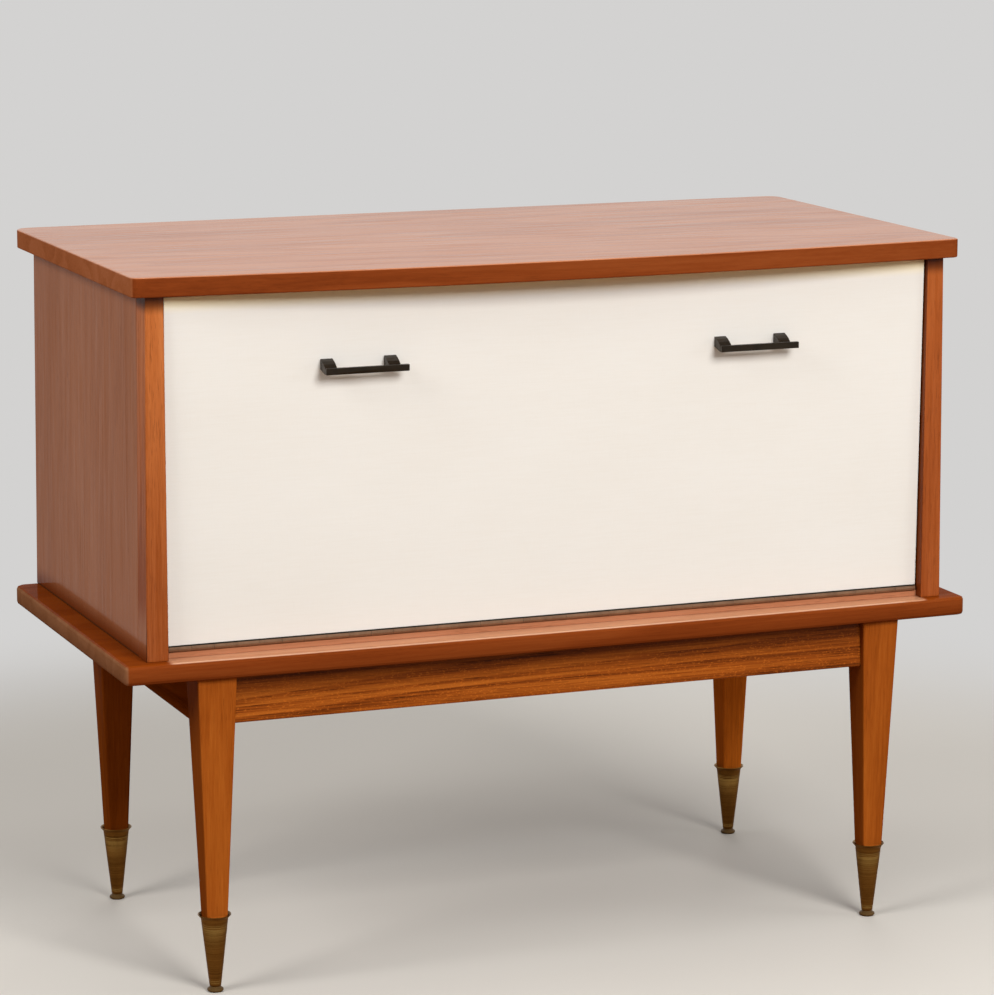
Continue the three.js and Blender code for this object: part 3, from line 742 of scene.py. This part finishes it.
def slotted_head(name, radius, height, rise, slot_width):
    """The head of a slotted screw about Z, with its seat at the origin. It stands height
    tall at its rim and rise more in its middle."""
    deselect()
    bpy.ops.mesh.primitive_cylinder_add(vertices=HEAD_SIDES, radius=radius,
                                        depth=height * 2, location=(0.0, 0.0, 0.0))
    head = bpy.context.object
    head.name = name
    edit_faces(head, lambda face: face.normal.z > 0.9)
    bpy.ops.mesh.inset(thickness=radius * 0.25, depth=rise * 0.6)
    bpy.ops.mesh.inset(thickness=radius * 0.3, depth=rise * 0.4)
    bpy.ops.object.mode_set(mode="OBJECT")
    deselect()
    bpy.ops.mesh.primitive_cube_add(size=1.0, location=(0.0, 0.0, height + rise),
                                    scale=(radius * 3.0, slot_width, (height * 0.5 + rise) * 2))
    cutter = bpy.context.object
    apply_modifier(head, "BOOLEAN", operation="DIFFERENCE", solver="EXACT", object=cutter)
    removed(cutter)
    apply_modifier(head, "BEVEL", width=radius * 0.07, segments=2, limit_method="ANGLE",
                   angle_limit=math.radians(50))
    return head


def screws(name, head, places, direction, body, finish="steel"):
    """One piece of several copies of a head, each with its slot turned its own way."""
    seat = Vector(direction).to_track_quat("Z", "Y").to_matrix().to_4x4()
    heads = [copied(head, name, place, seat @ Matrix.Rotation(number * SLOT_TURN, 4, "Z"))
             for number, place in enumerate(places)]
    return finished(joined(heads, name), body, finish)


def make_hinge_screws(head):
    low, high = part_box("hinge_leaf_fixed")
    across = spread(low[0] + LEAF_SCREW_END, high[0] - LEAF_SCREW_END, LEAF_SCREWS)
    row_y = HINGE_AXIS[1] + LEAF_SCREW_BACK
    screws("hinge_screws_fixed", head, [(x, row_y, low[2] + LEAF_THICKNESS) for x in across],
           (0, 0, 1), "carcass")
    screws("hinge_screws_flap", head,
           [flap_place(x, LEAF_SCREW_BACK, LEAF_UNDERSIDE) for x in across],
           flap_direction((0, 0, -1)), "flap")


def make_flap_fitting_screws(flat_head, round_head, pan_head):
    back = flap_direction((0, 1, 0))
    for side in SIDES:
        low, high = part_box("stay_bracket_" + side)
        foot_x = (low[0] + BRACKET_SCREW_INSET if side == "left"
                  else high[0] - BRACKET_SCREW_INSET)
        lift = height_on_flap((low[2] + high[2]) / 2)
        screws("stay_bracket_screws_" + side, round_head,
               [flap_place(foot_x, FITTING_FACE, lift + step)
                for step in (-BRACKET_SCREW_STEP, BRACKET_SCREW_STEP)],
               back, "flap", "brass")

        strike = middle(*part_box("strike_plate_" + side))
        lift = height_on_flap(strike[2])
        screws("strike_screws_" + side, flat_head,
               [flap_place(strike[0] + step, FITTING_FACE, lift)
                for step in (-STRIKE_SCREW_STEP, STRIKE_SCREW_STEP)],
               back, "flap")

        places = []
        for end in "ab":
            low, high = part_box(f"handle_{side}_post_{end}")
            places.append(flap_place(middle(low, high)[0], FLAP_THICKNESS,
                                     height_on_flap(high[2] - HANDLE_SCREW_DROP)))
        screws("handle_screws_" + side, pan_head, places, back, "flap")


def make_carcass_screws(flat_head, round_head):
    for side in SIDES:
        low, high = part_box("catch_" + side)
        centre = middle(low, high)
        screws("catch_screws_" + side, round_head,
               [(centre[0] + step, centre[1] + CATCH_SCREW_BACK, low[2])
                for step in (-CATCH_SCREW_STEP, CATCH_SCREW_STEP)],
               (0, 0, -1), "carcass")

    low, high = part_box("back_panel")
    places = [(x, high[1], z) for x in (low[0] + BACK_SCREW_EDGE, high[0] - BACK_SCREW_EDGE)
              for z in spread(low[2] + BACK_SCREW_HEAD, high[2] - BACK_SCREW_HEAD,
                              BACK_SCREWS_UP)]
    places += [(x, high[1], low[2] + BACK_SCREW_FOOT)
               for x in spread(low[0] + BACK_SCREW_SIDE, high[0] - BACK_SCREW_SIDE,
                               BACK_SCREWS_ACROSS)]
    screws("back_panel_screws", round_head, places, (0, 1, 0), "carcass")

    side_x = middle(*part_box("side_panel_right"))[0]
    places = [(x, y, BASE_UNDERSIDE) for x in (-side_x, side_x) for y in CARCASS_SCREW_DEPTHS]
    screws("carcass_screws", flat_head, places, (0, 0, -1), "carcass")

    places = []
    for end in ENDS:
        for side in SIDES:
            low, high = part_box(f"corner_block_{end}_{side}")
            corner = Vector((low[0] if side == "left" else high[0],
                             low[1] if end == "front" else high[1], low[2]))
            place = Vector(middle(low, high)).lerp(corner, BLOCK_SCREW_SHARE)
            places.append((place.x, place.y, low[2]))
    screws("corner_block_screws", flat_head, places, (0, 0, -1), "carcass")


def make_screws():
    flat_head = slotted_head("flat_head", 0.0031, 0.00015, 0.0002, 0.0007)
    round_head = slotted_head("round_head", 0.0031, 0.0005, 0.0012, 0.0008)
    pan_head = slotted_head("pan_head", 0.0042, 0.0012, 0.0008, 0.001)
    make_hinge_screws(flat_head)
    make_flap_fitting_screws(flat_head, round_head, pan_head)
    make_carcass_screws(flat_head, round_head)
    for head in (flat_head, round_head, pan_head):
        removed(head)


# Catches

CATCH_PLATE = (0.024, 0.0076, 0.0014)
CATCH_PLATE_BACK = 0.0035
CATCH_PLATE_STEP = 0.0027
CATCH_PLATE_ARRIS = 0.0004


def make_catch_plates():
    """The two steel plates of each magnetic catch, which stand just out of its front."""
    for side in SIDES:
        low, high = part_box("catch_" + side)
        centre = middle(low, high)
        deselect()
        bpy.ops.mesh.primitive_cube_add(
            size=1.0, location=(centre[0], low[1] + CATCH_PLATE_BACK, centre[2]),
            scale=CATCH_PLATE)
        plate = bpy.context.object
        plate.name = "catch_plate"
        settle(plate)
        edit_faces(plate, lambda face: face.normal.y < -0.9)
        bpy.ops.mesh.bevel(offset=CATCH_PLATE_ARRIS, segments=2, affect="EDGES")
        bpy.ops.object.mode_set(mode="OBJECT")
        pair = [copied(plate, "catch_plate", (0.0, 0.0, step))
                for step in (-CATCH_PLATE_STEP, CATCH_PLATE_STEP)]
        removed(plate)
        finished(joined(pair, "catch_plates_" + side), "carcass", "steel")


# Ferrules and glides

ROUND_STEPS = 72
ROUND_SMOOTHING = 50.0
FERRULE_FOOT = 0.006
FERRULE_TOP = 0.081      # where its cone ends and its flare starts
FERRULE_RADIUS_FOOT = 0.0062
FERRULE_RADIUS_TOP = 0.0146
FERRULE_WALL = 0.0012
FLARE_STEPS = (0.0, 0.25, 0.5, 0.75)
GROOVE_HEIGHTS = (0.0105, 0.0125, 0.0715, 0.0735, 0.0755)
GROOVE_DEPTH = 0.00022
GROOVE_HALF = 0.0004
GLIDE_RADIUS = 0.0066
GLIDE_BEAD_HEIGHT = 0.0042
GLIDE_BEAD_STEPS = 8


def turned(name, rings):
    """A closed turned piece about Z, drawn from its foot up through rings of radius and
    height, each extruded from the last one."""
    deselect()
    radius, height = rings[0]
    bpy.ops.mesh.primitive_circle_add(vertices=ROUND_STEPS, radius=radius, fill_type="NGON",
                                      location=(0.0, 0.0, height))
    piece = bpy.context.object
    piece.name = name
    bpy.ops.object.mode_set(mode="EDIT")
    for next_radius, next_height in rings[1:]:
        bpy.ops.mesh.extrude_region_move(
            TRANSFORM_OT_translate={"value": (0.0, 0.0, next_height - height)})
        share = next_radius / radius
        bpy.ops.transform.resize(value=(share, share, 1.0),
                                 center_override=(0.0, 0.0, next_height))
        radius, height = next_radius, next_height
    bpy.ops.mesh.select_all(action="SELECT")
    bpy.ops.mesh.normals_make_consistent(inside=False)
    bpy.ops.object.mode_set(mode="OBJECT")
    settle(piece)
    return piece


def ferrule_rings(rim_radius, rim_top):
    """A tapered cup with turned grooves near its foot and its top, which flares out to a
    rolled rim, and then its inside, down to its foot."""
    def cone(height):
        share = (height - FERRULE_FOOT) / (FERRULE_TOP - FERRULE_FOOT)
        return FERRULE_RADIUS_FOOT + (FERRULE_RADIUS_TOP - FERRULE_RADIUS_FOOT) * share

    rings = [(FERRULE_RADIUS_FOOT - 0.0004, FERRULE_FOOT),
             (FERRULE_RADIUS_FOOT, FERRULE_FOOT + 0.0004)]
    for height in GROOVE_HEIGHTS:
        rings += [(cone(height - GROOVE_HALF), height - GROOVE_HALF),
                  (cone(height) - GROOVE_DEPTH, height),
                  (cone(height + GROOVE_HALF), height + GROOVE_HALF)]
    rings += [(cone(FERRULE_TOP - 0.0012), FERRULE_TOP - 0.0012)]
    flare = rim_radius - FERRULE_RADIUS_TOP
    rise = rim_top - 0.001 - FERRULE_TOP
    rings += [(FERRULE_RADIUS_TOP + flare * step ** 1.5, FERRULE_TOP + rise * step)
              for step in FLARE_STEPS]
    rings += [(rim_radius - 0.0003, rim_top - 0.0011), (rim_radius, rim_top - 0.0007),
              (rim_radius - 0.0001, rim_top - 0.0002), (rim_radius - 0.0005, rim_top),
              (rim_radius - 0.0012, rim_top - 0.0005)]
    rings += [(FERRULE_RADIUS_TOP - FERRULE_WALL, FERRULE_TOP + 0.0005),
              (FERRULE_RADIUS_FOOT - FERRULE_WALL, FERRULE_FOOT + FERRULE_WALL)]
    return rings


def glide_rings(bead_radius):
    """A flat sole, a round bead over it and a neck that ends in the ferrule."""
    bead = bead_radius - GLIDE_RADIUS
    rings = [(GLIDE_RADIUS - 0.0008, 0.0), (GLIDE_RADIUS, 0.0003)]
    for number in range(1, GLIDE_BEAD_STEPS):
        turn = math.pi * number / GLIDE_BEAD_STEPS
        rings.append((GLIDE_RADIUS + bead * math.sin(turn),
                      GLIDE_BEAD_HEIGHT * (1 - math.cos(turn)) / 2))
    rings += [(GLIDE_RADIUS, GLIDE_BEAD_HEIGHT),
              (FERRULE_RADIUS_FOOT - 0.0002, FERRULE_FOOT - 0.0006),
              (FERRULE_RADIUS_FOOT - 0.0005, FERRULE_FOOT - 0.00005)]
    return rings


def make_feet():
    low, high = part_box("ferrule_front_left")
    ferrule = turned("ferrule", ferrule_rings((high[0] - low[0]) / 2, high[2]))
    low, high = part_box("glide_front_left")
    glide = turned("glide", glide_rings((high[0] - low[0]) / 2))
    for end in ENDS:
        for side in SIDES:
            for piece, kind, slot, finish in ((ferrule, "ferrule", "brass", "turned"),
                                              (glide, "glide", "glide", "glide")):
                node = f"{kind}_{end}_{side}"
                centre = middle(*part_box(node))
                twin = copied(piece, node + "_turned", (centre[0], centre[1], 0.0))
                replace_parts(finished(twin, "carcass", finish, ROUND_SMOOTHING), node)
    removed(ferrule)
    removed(glide)


# Camera and room

CAMERA_PLACE = (-1.59564, -4.07671, 1.29215)
CAMERA_YAW = -0.37593
CAMERA_PITCH = -0.18412
CAMERA_ROLL = 0.00085
CAMERA_LENS = 142.465
CAMERA_SENSOR = 36.0
CLIP_END = 60.0

# Each lamp's name, place, aim, size, power and colour, and whether reflections show it
LAMPS = (
    ("key", (0.6, -3.8, 2.75), (0.0, 0.0, 0.45), (1.8, 1.6), 151.0, (1.0, 0.99, 0.975), False),
    ("fill", (-3.2, -1.0, 2.6), (-0.2, 0.0, 0.5), (1.6, 1.6), 61.0, (1.0, 0.99, 0.98), False),
    ("right", (3.4, -2.0, 1.3), (0.3, 0.0, 0.3), (1.2, 1.2), 14.0, (1.0, 1.0, 1.0), False),
    ("overhead", (0.0, 0.2, 3.2), (0.0, 0.0, 0.5), (2.4, 2.0), 20.0, (1.0, 1.0, 1.0), True),
    ("back", (1.4, 3.6, 2.0), (0.0, 0.2, 0.4), (2.0, 1.6), 30.0, (1.0, 0.99, 0.98), False),
)
ROOM_LIGHT = 0.2
FLOOR_SIZE = 60.0

# How far from the cabinet's middle the floor turns into the backdrop
BACKDROP_FADE = (0.75, 1.8)


def make_camera():
    """The camera that was fitted to the photograph."""
    data = bpy.data.cameras.new("camera")
    data.sensor_fit = "HORIZONTAL"
    data.sensor_width = CAMERA_SENSOR
    data.lens = CAMERA_LENS
    data.clip_end = CLIP_END
    camera = bpy.data.objects.new("camera", data)
    scene.collection.objects.link(camera)
    camera.matrix_world = (
        Matrix.Translation(CAMERA_PLACE)
        @ Matrix.Rotation(CAMERA_YAW, 4, "Z")
        @ Matrix.Rotation(math.pi / 2 + CAMERA_PITCH, 4, "X")
        @ Matrix.Rotation(CAMERA_ROLL, 4, "Z")
    )
    scene.camera = camera


def make_world():
    """Soft light from all sides. The camera, gloss and glass see a plain backdrop in it."""
    world = bpy.data.worlds.new("room")
    scene.world = world
    world.use_nodes = True
    tree = world.node_tree
    room = tree.nodes["Background"]
    room.inputs["Color"].default_value = (1.0, 1.0, 1.0, 1.0)
    room.inputs["Strength"].default_value = ROOM_LIGHT
    seen = tree.nodes.new("ShaderNodeBackground")
    seen.inputs["Color"].default_value = BACKDROP_COLOUR
    path = tree.nodes.new("ShaderNodeLightPath")
    share = path.outputs["Is Camera Ray"]
    for kind in ("Is Glossy Ray", "Is Transmission Ray"):
        either = tree.nodes.new("ShaderNodeMath")
        either.operation = "MAXIMUM"
        tree.links.new(share, either.inputs[0])
        tree.links.new(path.outputs[kind], either.inputs[1])
        share = either.outputs[0]
    mix = tree.nodes.new("ShaderNodeMixShader")
    tree.links.new(share, mix.inputs[0])
    tree.links.new(room.outputs[0], mix.inputs[1])
    tree.links.new(seen.outputs[0], mix.inputs[2])
    tree.links.new(mix.outputs[0], tree.nodes["World Output"].inputs[0])


def studio_floor_finish():
    """A pale matt floor. Far from the cabinet the camera, gloss and glass see it as an even
    pale backdrop. Near it the camera sees it take light and keep the shadow, and all else
    sees the warmer light of a wooden floor."""
    f = Finish("studio_floor")
    x, y, z = f.position()
    far = (x * x + y * y).root().between(*BACKDROP_FADE)
    fine = f.noise(f.vector(x * 3.0, y * 3.0, z))
    f.link("Base Color", f.mix(fine, FLOOR_COLOUR, shade(FLOOR_COLOUR, 0.97)))
    f.set(roughness=0.7, specular_ior_level=0.15)
    glow = f.node("ShaderNodeEmission", {"Color": BACKDROP_COLOUR, "Strength": 1.0})
    bounce = f.node("ShaderNodeBsdfDiffuse", {"Color": BOUNCE_COLOUR})
    path = f.node("ShaderNodeLightPath").outputs
    camera = Value(f, path["Is Camera Ray"])
    seen = camera + Value(f, path["Is Glossy Ray"]) + Value(f, path["Is Transmission Ray"])
    near = f.node("ShaderNodeMixShader",
                  {0: camera, 1: bounce.outputs[0], 2: f.shader.outputs[0]})
    mixed = f.node("ShaderNodeMixShader", {0: (seen * far).between(0.0, 1.0),
                                           1: near.outputs[0], 2: glow.outputs[0]})
    f.put(f.tree.nodes["Material Output"].inputs[0], mixed.outputs[0])
    return f.material


def make_floor():
    bpy.ops.mesh.primitive_plane_add(size=FLOOR_SIZE, location=(0.0, 0.0, 0.0))
    floor = bpy.context.object
    floor.name = "studio_floor"
    floor.data.materials.append(studio_floor_finish())


def make_lamps():
    for name, place, aim, size, power, colour, in_gloss in LAMPS:
        data = bpy.data.lights.new(name, "AREA")
        data.shape = "RECTANGLE"
        data.size, data.size_y = size
        data.energy = power
        data.color = colour
        lamp = bpy.data.objects.new(name, data)
        scene.collection.objects.link(lamp)
        lamp.visible_glossy = in_gloss
        lamp.location = place
        toward = Vector(aim) - Vector(place)
        lamp.rotation_euler = toward.to_track_quat("-Z", "Y").to_euler()


make_camera()
make_world()
make_floor()
make_lamps()
scene.view_settings.view_transform = "Standard"
dress_cad_nodes()
make_screws()
make_catch_plates()
make_feet()
